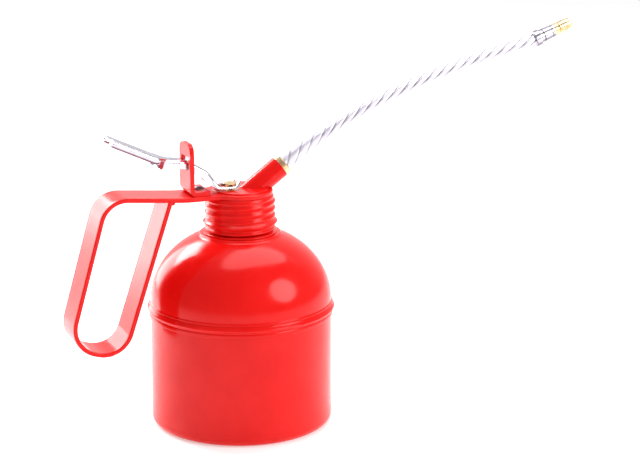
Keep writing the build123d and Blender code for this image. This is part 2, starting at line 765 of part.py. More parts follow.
def foot_valve_body():
    """Valve body screwed on the barrel's end, with ball chamber, seat and tube socket."""
    body = rod(FOOT_R, FOOT_BOTTOM, FOOT_TOP, PUMP_X)
    body -= rod(BARREL_R + SPIGOT_FIT, BARREL_BOTTOM, FOOT_TOP + CUT, PUMP_X)
    body -= rod(FOOT_CHAMBER_R, FOOT_SEAT_Z, BARREL_BOTTOM + CUT, PUMP_X)
    body -= rod(FOOT_SEAT_R, FOOT_BOTTOM, FOOT_SEAT_Z + CUT, PUMP_X)
    body -= rod(TUBE_R + PRESS_GAP, FOOT_BOTTOM - CUT, TUBE_TOP + END_GAP, PUMP_X)
    return body - stop_pin(STOP_PIN_R + PRESS_GAP)


def stop_pin(radius):
    """Cross pin that limits the foot ball's lift."""
    pin = Rot(90, 0, 0) * Cylinder(radius, 2 * (FOOT_R - STOP_PIN_INSET))
    return Pos(PUMP_X, 0, STOP_PIN_Z) * pin


def pump_barrel():
    """Brass barrel, notched at the bottom for the stop pin."""
    barrel = tube(BARREL_R, BARREL_BORE_R, BARREL_BOTTOM, BARREL_TOP, PUMP_X)
    return barrel - stop_pin(STOP_PIN_R + PRESS_GAP)


def strainer():
    """Slotted brass cup on the suction tube's end."""
    cup = rod(STRAINER_R, STRAINER_BOTTOM, STRAINER_TOP, PUMP_X)
    cup -= rod(
        STRAINER_R - STRAINER_WALL,
        STRAINER_BOTTOM + STRAINER_WALL,
        STRAINER_TOP - STRAINER_WALL,
        PUMP_X,
    )
    cup -= rod(TUBE_R + PRESS_GAP, STRAINER_TOP - 2, STRAINER_TOP + CUT, PUMP_X)
    slot_h = STRAINER_TOP - STRAINER_BOTTOM - 4
    for turn in range(STRAINER_SLOTS):
        slot = Pos(STRAINER_R, 0, 0) * Box(STRAINER_R, STRAINER_SLOT_W, slot_h)
        middle = (STRAINER_TOP + STRAINER_BOTTOM) / 2
        cup -= Pos(PUMP_X, 0, middle) * Rot(0, 0, turn * 360 / STRAINER_SLOTS) * slot
    return cup


# --- Spout ------------------------------------------------------------------------------

def spout_nut():
    """Brass nut that clamps the hose's root in the socket."""
    end = SOCKET_LENGTH - SOCKET_BORE_S
    sleeve = run(socket_point(SOCKET_BORE_S + SLEEVE_GAP), SOCKET_ELEVATION, SOCKET_BORE_R - SPIGOT_FIT, end)
    collar = run(socket_point(SOCKET_LENGTH), SOCKET_ELEVATION, NUT_R, NUT_LENGTH)
    collar = chamfer(collar.edges().filter_by(GeomType.CIRCLE).sort_by(Axis.X)[-1], 0.5)
    bore = run(socket_point(SOCKET_BORE_S), SOCKET_ELEVATION, HOSE_R + PRESS_GAP, 2 * SOCKET_LENGTH)
    return sleeve + collar - bore


def hose_root_stations():
    """Points and headings along the hose's fixed, gently bent root."""
    point = socket_point(SOCKET_LENGTH + NUT_LENGTH)
    step = ROOT_LENGTH / len(ROOT_HEADINGS)
    stations = [(point, SOCKET_ELEVATION)]
    for index, degrees in enumerate(ROOT_HEADINGS):
        point = point + heading(degrees) * step
        after = ROOT_HEADINGS[index + 1] if index + 1 < len(ROOT_HEADINGS) else LINK_HEADINGS[0]
        stations.append((point, (degrees + after) / 2))
    return stations


def tapered_loft(stations, radius_from, radius_to):
    """A round bar through the stations whose radius changes evenly along it."""
    sections = []
    for index, (point, degrees) in enumerate(stations):
        share = index / (len(stations) - 1)
        radius = radius_from + (radius_to - radius_from) * share
        sections.append(plane_at(point, degrees).location * Circle(radius))
    return loft(sections)


def hose_guard():
    """Tapered sleeve over the hose's root."""
    stations = hose_root_stations()
    last_point, last_heading = stations[-1]
    stations[-1] = (last_point - heading(last_heading) * (CUP_SETBACK + 0.6), last_heading)
    sleeve = tapered_loft(stations, GUARD_ROOT_R, GUARD_END_R)
    bore_r = HOSE_R + GUARD_CLEARANCE
    return sleeve - tapered_loft(stations, bore_r, bore_r)


def hose_root():
    """Fixed first stretch of the hose, from inside the nut to the first ball joint."""
    stations = hose_root_stations()
    inside = socket_point(SOCKET_BORE_S + SLEEVE_GAP)
    in_length = SOCKET_LENGTH + NUT_LENGTH - SOCKET_BORE_S - SLEEVE_GAP
    root = run(inside, SOCKET_ELEVATION, HOSE_R, in_length)
    root += tapered_loft(stations, HOSE_R, HOSE_R)
    bore = run(inside - heading(SOCKET_ELEVATION), SOCKET_ELEVATION, HOSE_BORE_R, in_length + CUT)
    bore += tapered_loft(stations, HOSE_BORE_R, HOSE_BORE_R)
    joint, degrees = stations[-1]
    setback = run(joint - heading(degrees) * CUP_SETBACK, degrees, 3 * HOSE_R, 3 * HOSE_R)
    return root - bore - setback - Pos(*joint) * Sphere(CUP_R)


def joint_points():
    """The centres of the hose's ball joints, then the end of its last link."""
    points = [hose_root_stations()[-1][0]]
    for degrees in LINK_HEADINGS:
        points.append(points[-1] + heading(degrees) * LINK_LENGTH)
    return points


def hose_link(index):
    """One hose link: ball end, hollow tube, and a cup for the next link's ball."""
    points = joint_points()
    start, end = points[index], points[index + 1]
    degrees = LINK_HEADINGS[index]
    last = index == len(LINK_HEADINGS) - 1
    link = run(start, degrees, HOSE_R, LINK_LENGTH - (0 if last else CUP_SETBACK))
    link += Pos(*start) * Sphere(BALL_R)
    link -= run(start - heading(degrees) * LINK_LENGTH / 2, degrees, HOSE_BORE_R, 2 * LINK_LENGTH)
    if last:
        return link
    return link - Pos(*end) * Sphere(CUP_R)


def tip_collar():
    """Crimped collar that joins the nozzle to the hose."""
    end = joint_points()[-1]
    collar = run(end - heading(TIP_HEADING) * COLLAR_LAP, TIP_HEADING, COLLAR_R, COLLAR_LENGTH)
    collar = fillet(collar.edges().filter_by(GeomType.CIRCLE), radius=COLLAR_ROUND)
    collar -= run(end - heading(LINK_HEADINGS[-1]) * COLLAR_SOCKET, LINK_HEADINGS[-1], HOSE_R, COLLAR_SOCKET)
    return collar - run(end - heading(TIP_HEADING), TIP_HEADING, HOSE_BORE_R, 2 * COLLAR_LENGTH)


def nozzle_body():
    """Plated nozzle between the collar and the brass tip, with two turned grooves."""
    start = joint_points()[-1] + heading(TIP_HEADING) * (COLLAR_LENGTH - COLLAR_LAP)
    body = run(start, TIP_HEADING, NOZZLE_R, NOZZLE_LENGTH, NOZZLE_END_R)
    for at in NOZZLE_GROOVES:
        where = start + heading(TIP_HEADING) * at
        groove = run(where, TIP_HEADING, NOZZLE_R + CUT, NOZZLE_GROOVE_W)
        body -= groove - run(where, TIP_HEADING, NOZZLE_GROOVE_R, NOZZLE_GROOVE_W)
    return body - run(start - heading(TIP_HEADING), TIP_HEADING, HOSE_BORE_R, 2 * NOZZLE_LENGTH)


def nozzle_tip():
    """Brass jet at the very end of the spout, with a wrench groove and a fine bore."""
    start = joint_points()[-1] + heading(TIP_HEADING) * (COLLAR_LENGTH - COLLAR_LAP + NOZZLE_LENGTH)
    straight = TIP_LENGTH - TIP_CONE
    tip = run(start, TIP_HEADING, TIP_R, straight)
    end = start + heading(TIP_HEADING) * straight
    tip += run(end, TIP_HEADING, TIP_R, TIP_CONE, TIP_END_R)
    groove_at = start + heading(TIP_HEADING) * TIP_GROOVE_AT
    groove = run(groove_at, TIP_HEADING, TIP_R + CUT, TIP_GROOVE_W)
    tip -= groove - run(groove_at, TIP_HEADING, TIP_GROOVE_R, TIP_GROOVE_W)
    return tip - run(start - heading(TIP_HEADING), TIP_HEADING, TIP_BORE_R, 2 * TIP_LENGTH)


def main():
    os.makedirs("parts", exist_ok=True)
    save(can_bowl(), "can_bowl")
    save(can_dome(), "can_dome")
    save(neck_ring(), "neck_ring")
    save(tube(NECK_CREST_R, NECK_BORE_R, NECK_TOP, CAP_PLATE_Z), "neck_gasket")
    save(screw_cap(), "screw_cap")
    save(handle_strip(), "handle_strip")
    save(leg_braze(), "leg_braze")
    save(lever_bracket(), "lever_bracket")
    save(bracket_rivet(), "bracket_rivet")
    save(lever(), "lever")
    save(pump_head(), "pump_head")
    save(retaining_ring(), "retaining_ring")
    packing = tube(GLAND_R - SPIGOT_FIT, ROD_R + ROD_CLEARANCE / 2, PACKING_Z, GLAND_Z, PUMP_X)
    save(packing, "gland_packing")
    save(gland_nut(), "gland_nut")
    save(pump_barrel(), "pump_barrel")
    save(rod(ROD_R, ROD_BOTTOM, BUTTON_TOP - BUTTON_SKIN - PRESS_GAP, PUMP_X), "plunger_rod")
    save(plunger_button(), "plunger_button")
    save(piston_body(), "piston_body")
    seal = tube(SEAL_R, SEAL_GROOVE_R + PRESS_GAP, SEAL_Z, SEAL_Z + SEAL_H, PUMP_X)
    save(seal, "piston_seal")
    save(seated_ball(PISTON_BALL_R, PISTON_SEAT_R, PISTON_SEAT_Z), "piston_ball")
    save(return_spring(), "return_spring")
    save(foot_valve_body(), "foot_valve_body")
    save(seated_ball(FOOT_BALL_R, FOOT_SEAT_R, FOOT_SEAT_Z), "foot_valve_ball")
    save(stop_pin(STOP_PIN_R), "ball_stop_pin")
    save(tube(TUBE_R, TUBE_BORE_R, TUBE_BOTTOM, TUBE_TOP, PUMP_X), "suction_tube")
    save(strainer(), "strainer")
    save(spout_nut(), "spout_nut")
    save(hose_guard(), "hose_guard")
    save(hose_root(), "hose_root")
    for index in range(len(LINK_HEADINGS)):
        save(hose_link(index), f"hose_link_{index + 1}")
    save(tip_collar(), "tip_collar")
    save(nozzle_body(), "nozzle_body")
    save(nozzle_tip(), "nozzle_tip")


main()
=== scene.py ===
"""Looks of the pump oil can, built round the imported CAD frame.

Lengths are millimetres and angles degrees, unless a name says otherwise.
Meshes are turned into metres in piece().
"""

import json
import math

import bmesh
import bpy
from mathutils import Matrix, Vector


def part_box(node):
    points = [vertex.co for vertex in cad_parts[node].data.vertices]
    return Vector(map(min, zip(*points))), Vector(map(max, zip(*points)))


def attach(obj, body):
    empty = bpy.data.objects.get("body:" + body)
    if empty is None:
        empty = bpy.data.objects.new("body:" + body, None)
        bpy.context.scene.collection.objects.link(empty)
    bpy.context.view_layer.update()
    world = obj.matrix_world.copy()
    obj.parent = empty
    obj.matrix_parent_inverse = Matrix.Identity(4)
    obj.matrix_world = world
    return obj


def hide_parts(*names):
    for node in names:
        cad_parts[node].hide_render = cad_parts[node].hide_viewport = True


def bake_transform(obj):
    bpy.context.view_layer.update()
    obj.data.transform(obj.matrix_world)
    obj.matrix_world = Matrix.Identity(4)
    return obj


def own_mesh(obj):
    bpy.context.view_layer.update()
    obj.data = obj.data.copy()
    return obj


MM = 0.001
WELD_M = 2e-6
CAN_FACETS = 192
NECK_FACETS = 144
CAP_FACETS = 180
CREASE = 50             # edges sharper than this stay sharp on pressed parts

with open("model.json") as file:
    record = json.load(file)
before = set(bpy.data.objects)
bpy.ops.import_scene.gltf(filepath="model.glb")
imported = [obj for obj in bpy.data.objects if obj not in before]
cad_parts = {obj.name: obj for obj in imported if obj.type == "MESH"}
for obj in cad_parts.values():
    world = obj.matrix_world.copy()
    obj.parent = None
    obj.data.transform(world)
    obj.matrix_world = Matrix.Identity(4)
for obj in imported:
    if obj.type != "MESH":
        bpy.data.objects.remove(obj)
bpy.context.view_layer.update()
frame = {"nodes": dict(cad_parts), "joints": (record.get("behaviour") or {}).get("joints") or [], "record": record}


def low_mm(node):
    """Lowest corner of a CAD node."""
    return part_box(node)[0] / MM


def high_mm(node):
    """Highest corner of a CAD node."""
    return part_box(node)[1] / MM


def joint_row(name):
    """A joint's entry in the record."""
    return next(j for j in frame["joints"] if j["name"] == name)


def joint_mm(name):
    """Where a joint sits."""
    return Vector(joint_row(name)["pos_m"]) / MM


# --- Can: sizes -------------------------------------------------------------------------
CAN_R = high_mm("can_bowl").x
SHEET = 1.0
BOWL_TOP = high_mm("can_bowl").z
BASE_CORNER_R = 4.0
BASE_RING_R = 31.0
BASE_RING_DEPTH = 0.7
BASE_RING_HALF = 3.5
BASE_RING_SLOPE = 2.2
BASE_RING_RADII = (3.0, 2.0, 2.0, 3.0)
BOWL_LIP_R = 0.4
HEM_RADII = (0.2, 0.4)
SKIRT_BOTTOM = low_mm("can_dome").z
BEAD_R = high_mm("can_dome").x
SKIRT_HEM = 0.7
SKIRT_HEM_TOP = (57.0, 57.9)
SKIRT_STEP = 0.45
SKIRT_STEP_TOP = (61.0, 61.7)
SKIRT_WALL_START = 56.6
BEAD_Z = 59.5
BEAD_HALF = 1.7
RIDGE_Z = 62.2
RIDGE_HEIGHT = 0.5
RIDGE_HALF = 0.8
DOME_SPRING = 63.0
DOME_RISE = 37.0
DOME_TOP = high_mm("can_dome").z
COLLAR_R = 19.8
COLLAR_MARGIN = 0.5
COLLAR_EDGE_R = 0.45
COLLAR_HOLE_EDGE_R = 0.2
COLLAR_INSET = 0.8
SEAM_GAP = 0.2
SNUG = 0.05

# --- Neck and cap: sizes ----------------------------------------------------------------
THREAD_PITCH = 3.5
NECK_BOTTOM = low_mm("neck_ring").z
NECK_TOP = high_mm("neck_ring").z
NECK_FLANGE_R = high_mm("neck_ring").x
NECK_FLANGE_T = 0.8
NECK_BORE_R = 13.6
NECK_ROOT_R = 14.9
NECK_CREST = 0.65
NECK_THREAD_START = (98.6, 100.2)
NECK_THREAD_END = (111.2, 112.4)
CAP_BOTTOM = low_mm("screw_cap").z
CAP_TOP = high_mm("screw_cap").z
CAP_PLATE_Z = high_mm("neck_gasket").z
CAP_RIM_R = high_mm("screw_cap").x
CAP_ROOT_R = 16.6
CAP_CREST = 0.8
CAP_BORE_R = 15.9
CAP_RIM_Z = 102.5
CAP_RIM_HALF = 2.0
CAP_HEM_Z = 99.4
CAP_HEM_HALF = 1.3
CAP_HEM_HEIGHT = 0.7
CAP_WALL = 0.7
CAP_THREAD_START = (103.4, 105.2)
CAP_THREAD_END = (113.8, 115.4)
CAP_THREAD_Z = 105.9
CAP_SHOULDER = 1.0
SPIGOT_HOLE_R = 12.45

# --- Grip and bracket: sizes ------------------------------------------------------------
STRIP_T = 2.2
STRIP_HALF = 9.5
EYE_R = high_mm("handle_strip").x
STRIP_Z = CAP_TOP + STRIP_T / 2
STRIP_START_X = -22.0
STRIP_EDGE_R = 0.5
LEG_TOP_X = -38.3
LEG_TOP_RISE = 0.785
GRIP_CORNERS = (
    (STRIP_START_X, STRIP_Z), (-30.0, STRIP_Z), (-70.2, 121.1), (-90.7, 49.2),
    (-63.9, 41.0), (LEG_TOP_X, STRIP_Z + LEG_TOP_RISE),
)
GRIP_RADII = (0.0, 60.0, 12.5, 13.4, 13.4, 0.0)
EYE_FILLET_R = 7.0
BRACKET_X = low_mm("lever_bracket").x + STRIP_T / 2
BRACKET_FOOT_X = high_mm("lever_bracket").x
BRACKET_HALF = high_mm("lever_bracket").y
BRACKET_LOW = low_mm("lever_bracket").z
BRACKET_TOP = high_mm("lever_bracket").z
BRACKET_CORNER_R = 4.5
BRACKET_BEND_R = 2.2
BRACKET_EDGE_R = 0.45
WINDOW_HALF = 5.1
WINDOW_TOP = 137.6
PIVOT = joint_mm("lever_press")

# --- Lever: sizes -----------------------------------------------------------------------
LEVER_T = 1.1
LEVER_CORNERS = (
    (-65.9, 149.75), (-44.4, 139.6), (-36.6, 136.9), (-28.0, 135.9),
    (-17.2, 129.2), (-11.6, 121.0), (-3.3, 121.0), (-1.9, 123.2),
)
LEVER_RADII = (0.0, 14.0, 10.0, 9.0, 7.0, 2.4, 1.2, 0.0)
PAD_HALF = high_mm("lever").y
PAD_ROOT_X = -43.2
PAD_DISH = 0.7
CURL_R = 1.25
CURL_TURN = math.radians(265)
NECK_HALF = 4.5
NECK_EDGE_R = 1.1
FORK_HALF = 5.2
FORK_EDGE_DROP = 0.7
FLANGE = 2.4
LUG = 1.7
LUG_HALF = 2.6
LEVER_EDGE_R = 0.25
HEEL_X = -11.4
SLOT_HALF = 2.7
SLOT_ROOT_X = -9.1

# --- Pump: sizes ------------------------------------------------------------------------
SPRING_WIRE_R = 0.5
SPRING_TURNS = 11

# --- Spout: sizes -----------------------------------------------------------------------
SOCKET_ELEVATION = 36.0
SOCKET_START = Vector((-1.0, 0, 111.8))
SOCKET_INSIDE = 20.0
SOCKET_END = 30.0
HOSE_R = 2.75
HOSE_BORE_R = 1.6
SLEEVE_ROOT_R = 4.0
SLEEVE_END_R = 3.1
SPOUT_JOINTS = [joint_mm(f"spout_bend_{n}") for n in range(1, 6)]
LINK_LENGTH = (SPOUT_JOINTS[1] - SPOUT_JOINTS[0]).length
LAST_LINK_HEADING = 12.5
HOSE_END_HEADING = 15.5
TWIST_LEAD = -28.0      # negative: left-handed
STRANDS = 4
GROOVE_SHARPNESS = 3
HOSE_GROOVE = 0.26      # groove depths as shares of the radius
SLEEVE_GROOVE = 0.06
RIB_HEIGHT = 0.035
RIBS = 14
WINDING_SIDES = 56
WINDING_STEP = 0.45
JOINT_SETBACK = 2.6     # where the sleeve ends before the first joint


# --- Mesh tools -------------------------------------------------------------------------

def smooth_step(low, high, x):
    """0 below low, 1 above high, and smooth between."""
    t = min(1.0, max(0.0, (x - low) / (high - low)))
    return t * t * (3 - 2 * t)


def bump(x, centre, half):
    """A smooth hill of height 1 that reaches half on each side of its centre."""
    t = min(1.0, abs(x - centre) / half)
    return 0.5 + 0.5 * math.cos(math.pi * t)


def spread(low, high, steps):
    """Evenly spaced values from low to high."""
    return [low + (high - low) * k / steps for k in range(steps + 1)]


def rounded(corners, radii, closed=True, step=7.5):
    """A flat polyline with an arc in place of each corner that has a radius."""
    points, count = [], len(corners)
    for i, radius in enumerate(radii):
        here = Vector(corners[i])
        if not radius or (not closed and i in (0, count - 1)):
            points.append(here)
            continue
        before = (Vector(corners[i - 1]) - here).normalized()
        after = (Vector(corners[(i + 1) % count]) - here).normalized()
        half = before.angle(after) / 2
        centre = here + (before + after).normalized() * radius / math.sin(half)
        start = here + before * radius / math.tan(half) - centre
        end = here + after * radius / math.tan(half) - centre
        turn = start.angle(end)
        steps = max(2, round(math.degrees(turn) / step))
        for w in spread(0, 1, steps):
            share = start * math.sin((1 - w) * turn) + end * math.sin(w * turn)
            points.append(centre + share / math.sin(turn))
    return points


def divided(points, longest):
    """The polyline with its long runs cut into equal steps."""
    made = [points[0]]
    for a, b in zip(points, points[1:]):
        steps = max(1, math.ceil((b - a).length / longest))
        made += [a.lerp(b, k / steps) for k in range(1, steps + 1)]
    return made


def skin(rings, closed):
    """Quads between rings of equally many points, with end faces unless it closes on itself."""
    count, number = len(rings[0]), len(rings)
    points = [p for ring in rings for p in ring]
    faces = []
    for i in range(number if closed else number - 1):
        a, b = i * count, (i + 1) % number * count
        for j in range(count):
            k = (j + 1) % count
            faces.append((a + j, a + k, b + k, b + j))
    if not closed:
        faces.append(tuple(range(count)))
        faces.append(tuple(range((number - 1) * count, number * count)))
    return points, faces


def turned(outline_at, steps):
    """A solid round the can's axis: outline_at(angle) gives its closed (radius, height) outline."""
    rings = []
    for k in range(steps):
        a = 2 * math.pi * k / steps
        rings.append([(r * math.cos(a), r * math.sin(a), z) for r, z in outline_at(a)])
    return skin(rings, True)


def folded(rows, is_open=None):
    """A sheet from rows of points that run from its middle to one edge, mirrored across Y."""
    count = len(rows[0])
    points, faces = [], []
    for side in (1, -1):
        base = len(points)
        points += [(x, side * y, z) for row in rows for x, y, z in row]
        for i in range(len(rows) - 1):
            for j in range(count - 1):
                if is_open and is_open(rows[i][j], rows[i + 1][j + 1]):
                    continue
                a = base + i * count + j
                face = (a, a + 1, a + count + 1, a + count)
                faces.append(face if side > 0 else face[::-1])
    return points, faces


def baked(thing):
    """Replaces the object's mesh by the one that its modifiers give."""
    bpy.context.view_layer.update()
    done = thing.evaluated_get(bpy.context.evaluated_depsgraph_get())
    mesh = bpy.data.meshes.new_from_object(done)
    thing.modifiers.clear()
    thing.data = mesh


def piece(name, shape, slot, sharp=38.0):
    """A new object from (points, faces), smooth but for its sharp edges, with the slot's material."""
    points, faces = shape
    mesh = bpy.data.meshes.new(name)
    mesh.from_pydata([Vector(p) * MM for p in points], [], faces)
    work = bmesh.new()
    work.from_mesh(mesh)
    bmesh.ops.remove_doubles(work, verts=work.verts, dist=WELD_M)
    bmesh.ops.recalc_face_normals(work, faces=work.faces)
    work.to_mesh(mesh)
    work.free()
    mesh.shade_smooth()
    mesh.set_sharp_from_angle(angle=math.radians(sharp))
    thing = bpy.data.objects.new(name, mesh)
    bpy.context.scene.collection.objects.link(thing)
    mesh.materials.append(MATERIALS[slot])
    return thing


def plate(name, shape, slot, thickness, edge):
    """A piece of sheet metal: the shape is its middle, and its cut edges are rounded."""
    thing = piece(name, shape, slot)
    solid = thing.modifiers.new("thickness", "SOLIDIFY")
    solid.thickness = thickness * MM
    solid.offset = 0
    solid.use_even_offset = True
    bevel = thing.modifiers.new("edges", "BEVEL")
    bevel.width = edge * MM
    bevel.segments = 3
    bevel.limit_method = "ANGLE"
    bevel.angle_limit = math.radians(CREASE)
    baked(thing)
    thing.data.set_sharp_from_angle(angle=math.radians(CREASE))
    thing.modifiers.new("flat faces", "WEIGHTED_NORMAL").keep_sharp = True
    return thing


# --- Materials --------------------------------------------------------------------------

def shader_of(material):
    """The material's Principled shader."""
    return next(n for n in material.node_tree.nodes if n.type == "BSDF_PRINCIPLED")


def new_material(name, **constants):
    """A material whose Principled sockets have these constant values."""
    material = bpy.data.materials.new(name)
    material.use_nodes = True
    shader = shader_of(material)
    for socket, value in constants.items():
        shader.inputs[socket.replace("_", " ")].default_value = value
    return material


def add_node(material, kind, inputs=None, **settings):
    """A node with its settings, and with values or links on its inputs."""
    node = material.node_tree.nodes.new(kind)
    for name, value in settings.items():
        setattr(node, name, value)
    for socket, value in (inputs or {}).items():
        if isinstance(value, bpy.types.NodeSocket):
            material.node_tree.links.new(value, node.inputs[socket])
        else:
            node.inputs[socket].default_value = value
    return node


def noise(material, size, detail=3.0, stretch=(1, 1, 1)):
    """Noise over the object with features of this size in millimetres, from 0 to 1."""
    place = add_node(material, "ShaderNodeTexCoord").outputs["Object"]
    scaled = add_node(
        material, "ShaderNodeMapping", {"Vector": place, "Scale": stretch}
    ).outputs["Vector"]
    return add_node(
        material, "ShaderNodeTexNoise",
        {"Vector": scaled, "Scale": 1 / (size * MM), "Detail": detail, "Roughness": 0.55},
    ).outputs["Fac"]


def ranged(material, value, low, high, to_low, to_high):
    """Value from low..high mapped onto to_low..to_high, and clamped."""
    return add_node(
        material, "ShaderNodeMapRange",
        {"Value": value, "From Min": low, "From Max": high, "To Min": to_low, "To Max": to_high},
    ).outputs["Result"]


def blended(material, factor, first, second):
    """First colour where factor is 0, second where it is 1."""
    node = add_node(
        material, "ShaderNodeMix", data_type="RGBA", clamp_factor=True
    )
    sockets = (("Factor_Float", factor), ("A_Color", first), ("B_Color", second))
    for identifier, value in sockets:
        target = next(i for i in node.inputs if i.identifier == identifier)
        if isinstance(value, bpy.types.NodeSocket):
            material.node_tree.links.new(value, target)
        else:
            target.default_value = value
    return next(o for o in node.outputs if o.identifier == "Result_Color")


def attribute(material, name):
    """A value that the mesh holds at each point."""
    return add_node(material, "ShaderNodeAttribute", attribute_name=name).outputs["Fac"]


def facing_up(material):
    """1 where the piece faces up as it was made, 0 on its sides and -1 below."""
    normal = add_node(material, "ShaderNodeTexCoord").outputs["Normal"]
    return add_node(material, "ShaderNodeSeparateXYZ", {"Vector": normal}).outputs["Z"]


def bumps(material, layers):
    """Bump from (height, depth in millimetres, strength) layers, onto the shader's normal."""
    normal = None
    for height, depth, strength in layers:
        inputs = {"Height": height, "Distance": depth * MM, "Strength": strength}
        if normal:
            inputs["Normal"] = normal
        normal = add_node(material, "ShaderNodeBump", inputs).outputs["Normal"]
    material.node_tree.links.new(normal, shader_of(material).inputs["Normal"])


def drive(material, socket, value):
    """Links a node's output to one of the shader's inputs."""
    material.node_tree.links.new(value, shader_of(material).inputs[socket])


def red_enamel():
    """Glossy stoved enamel: two close reds, a faint orange peel, smudges and fine dust."""
    material = new_material(
        "red_enamel", Specular_IOR_Level=0.5, Specular_Tint=(1.0, 0.45, 0.45, 1),
    )
    cloud = noise(material, 18.0)
    speck = noise(material, 0.9, 4.0)
    tone = blended(
        material, ranged(material, cloud, 0.35, 0.65, 0, 1),
        (0.75, 0.006, 0.005, 1), (0.81, 0.009, 0.007, 1),
    )
    dust = ranged(material, speck, 0.70, 0.78, 0, 0.35)
    drive(material, "Base Color", blended(material, dust, tone, (0.88, 0.05, 0.035, 1)))
    drive(material, "Roughness", ranged(material, noise(material, 9.0, 5.0), 0.3, 0.7, 0.13, 0.20))
    bumps(material, [(noise(material, 2.6, 1.0), 0.05, 0.05), (speck, 0.01, 0.05)])
    return material


def chrome_plate():
    """Plating with drawn streaks, handling haze and a mauve cast, with painted shade in its folds and on faces
    that look up or down.
    """
    material = new_material("chrome_plate", Metallic=1.0)
    haze = noise(material, 7.0, 4.0)
    streak = noise(material, 1.2, 3.0, stretch=(0.12, 1.0, 1.0))
    tint = blended(
        material, ranged(material, haze, 0.40, 0.62, 0, 1),
        (0.90, 0.87, 0.93, 1), (0.76, 0.71, 0.81, 1),
    )
    # Painted shade: occlusion within 2.4 mm turns the folds, curls and creases nearly black.
    shelter = add_node(
        material, "ShaderNodeAmbientOcclusion", {"Distance": 2.4 * MM}, samples=8
    ).outputs["AO"]
    up = facing_up(material)
    # Painted shade: faces that look up as the lever was made turn a darker mauve grey.
    painted_top_shade = blended(material, ranged(material, up, 0.70, 0.92, 0, 1), tint, (0.52, 0.47, 0.57, 1))
    # Painted shade: faces that look down turn dark mauve grey.
    under = blended(material, ranged(material, up, -0.10, -0.60, 0, 1), painted_top_shade, (0.24, 0.19, 0.25, 1))
    # Painted shade in the folds and creases, from the occlusion above.
    painted_crease_shade = ranged(material, shelter, 0.35, 0.80, 0.9, 0)
    drive(material, "Base Color", blended(material, painted_crease_shade, under, (0.10, 0.08, 0.10, 1)))
    drive(material, "Roughness", ranged(material, haze, 0.3, 0.7, 0.10, 0.24))
    bumps(material, [(streak, 0.03, 0.20)])
    return material


def brass():
    """Turned brass: fine cutting lines, brighter rubbed spots and light patches of dull oxide."""
    material = new_material("brass", Metallic=1.0)
    stain = noise(material, 3.2, 5.0)
    colour = blended(
        material, ranged(material, stain, 0.42, 0.66, 0, 1),
        (0.95, 0.74, 0.46, 1), (0.72, 0.48, 0.24, 1),
    )
    drive(material, "Base Color", colour)
    drive(material, "Roughness", ranged(material, stain, 0.3, 0.7, 0.18, 0.38))
    bumps(material, [(noise(material, 0.35, 2.0), 0.02, 0.25)])
    return material


def steel():
    """Plain drawn steel with faint streaks and grey oxide clouds."""
    material = new_material("steel", Metallic=1.0)
    cloud = noise(material, 5.0, 5.0)
    colour = blended(
        material, ranged(material, cloud, 0.4, 0.7, 0, 1),
        (0.64, 0.64, 0.67, 1), (0.42, 0.41, 0.43, 1),
    )
    drive(material, "Base Color", colour)
    drive(material, "Roughness", ranged(material, cloud, 0.3, 0.7, 0.25, 0.45))
    bumps(material, [(noise(material, 0.6, 2.0, stretch=(1, 1, 0.15)), 0.02, 0.30)])
    return material


def hose_metal():
    """Bright wound strip, with painted shade that turns it dark mauve down in the grooves between its strands."""
    material = new_material("hose_metal", Metallic=1.0)
    depth = attribute(material, "groove")
    haze = noise(material, 4.0, 4.0)
    crest = blended(
        material, ranged(material, haze, 0.4, 0.65, 0, 1),
        (0.84, 0.80, 0.87, 1), (0.70, 0.66, 0.76, 1),
    )
    # Painted shade: the deeper the groove at a point, the darker its colour.
    drive(material, "Base Color", blended(
        material, ranged(material, depth, 0.30, 0.90, 0, 1), crest, (0.20, 0.16, 0.22, 1)
    ))
    drive(material, "Roughness", ranged(material, depth, 0.0, 1.0, 0.48, 0.60))
    bumps(material, [(noise(material, 0.5, 2.0), 0.02, 0.25)])
    return material


def black_rubber():
    """Matt oil-proof rubber with a fine moulded grain."""
    material = new_material("black_rubber", Specular_IOR_Level=0.35)
    cloud = noise(material, 4.0, 4.0)
    drive(material, "Base Color", blended(
        material, cloud, (0.020, 0.020, 0.022, 1), (0.045, 0.043, 0.042, 1)
    ))
    drive(material, "Roughness", ranged(material, cloud, 0.3, 0.7, 0.55, 0.8))
    bumps(material, [(noise(material, 0.4, 2.0), 0.05, 0.4)])
    return material


MATERIALS = {
    make.__name__: make()
    for make in (red_enamel, chrome_plate, brass, steel, hose_metal, black_rubber)
}


def paint_cad_nodes():
    """Gives each carried-over CAD node the full material of its slot."""
    for row in frame["record"]["subparts"]:
        slots = frame["nodes"][row["node"]].material_slots
        for slot in slots:
            slot.material = MATERIALS[row["material_slot"]]


# --- Can --------------------------------------------------------------------------------

def can_bowl():
    """Drawn bowl: rounded base edge and the stiffening ring pressed into its base."""
    ring_in, ring_out = BASE_RING_R - BASE_RING_HALF, BASE_RING_R + BASE_RING_HALF
    ring = (
        (ring_in, 0), (ring_in + BASE_RING_SLOPE, BASE_RING_DEPTH),
        (ring_out - BASE_RING_SLOPE, BASE_RING_DEPTH), (ring_out, 0),
    )
    outside = [(0, 0), *ring, (CAN_R, 0), (CAN_R, BOWL_TOP)]
    inner_r = CAN_R - SHEET
    inside = [(r, z + SHEET) for r, z in reversed(ring)]
    corners = [*outside, (inner_r, BOWL_TOP), (inner_r, SHEET), *inside, (0, SHEET)]
    radii = [0, *BASE_RING_RADII, BASE_CORNER_R, BOWL_LIP_R, BOWL_LIP_R]
    radii += [BASE_CORNER_R - SHEET, *reversed(BASE_RING_RADII), 0]
    outline = rounded(corners, radii)
    bowl = piece("bowl", turned(lambda a: outline, CAN_FACETS), "red_enamel")
    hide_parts("can_bowl")
    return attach(bowl, "can")


